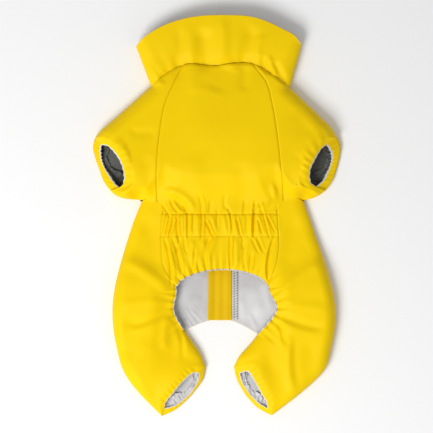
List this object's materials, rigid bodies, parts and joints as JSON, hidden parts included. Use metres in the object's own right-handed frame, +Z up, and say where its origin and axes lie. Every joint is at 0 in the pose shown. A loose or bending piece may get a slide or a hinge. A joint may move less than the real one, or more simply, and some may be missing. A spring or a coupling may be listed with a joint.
{
  "type": "dog raincoat",
  "caption": "Small dog raincoat with sleeves and legs, laid flat belly up: stand collar, raglan sleeves, gathered waist, arched opening, elastic cuffs, back zip.",
  "frame": {"origin": "centre of the bounding box in plan, on the plane it rests on", "axes": "+Z up, belly side up; +Y towards the collar; +X to the right as seen from above"},
  "size_m": [0.2976, 0.4814, 0.033],
  "materials": {
    "cloth": "coated waterproof cloth, soft satin",
    "guard": "coated waterproof cloth",
    "tape": "woven tape",
    "chain": "nylon coil",
    "metal": "satin"
  },
  "bodies": {
    "garment": {"collar": "cloth", "chest_panel": "cloth", "belly_panel": "cloth", "sleeve_left": "cloth", "sleeve_right": "cloth", "leg_left": "cloth", "leg_right": "cloth", "back_left": "cloth", "back_right": "cloth", "zip_guard": "guard", "zip_tape_left": "tape", "zip_tape_right": "tape", "zip_chain": "chain", "zip_slider": "metal"},
    "pull": {"zip_pull": "metal"}
  },
  "joints": [
    {"name": "pull_hinge", "type": "hinge", "parent": "garment", "child": "pull", "pos_m": [0.00386, 0.22169, 0.0022], "axis": [1, 0, 0], "range_deg": [0, 170]}
  ]
}
